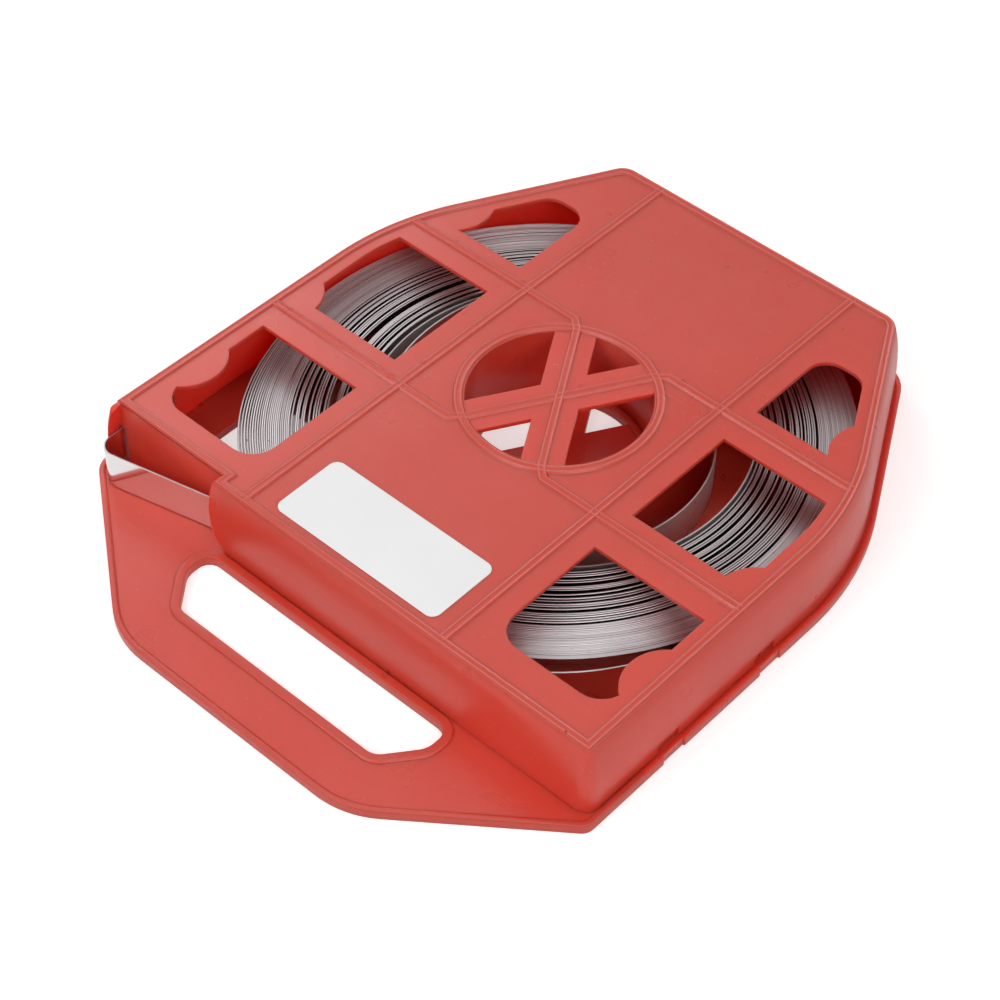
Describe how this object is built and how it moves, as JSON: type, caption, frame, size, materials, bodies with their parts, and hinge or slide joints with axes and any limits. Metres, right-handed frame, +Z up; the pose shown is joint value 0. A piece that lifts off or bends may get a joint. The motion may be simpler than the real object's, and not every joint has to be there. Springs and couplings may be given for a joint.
{
  "type": "stainless steel banding strap",
  "caption": "Coil of stainless steel banding strap lying in a red moulded dispenser case with a carry handle and windowed cover, its free end looped out of a slot.",
  "frame": {"origin": "centre of the case's hub, on the underside of the base plate", "axes": "+Z up out of the cover, -Y towards the carry handle, +X to the side away from the strap's outlet"},
  "size_m": [0.277, 0.3346, 0.0395],
  "materials": {
    "red_plastic": "satin moulded",
    "stainless_steel": "bright rolled",
    "white_label": "smooth film"
  },
  "bodies": {
    "root": {"case_base": "red_plastic", "case_top": "red_plastic", "steel_strap": "stainless_steel", "label": "white_label"}
  },
  "joints": []
}
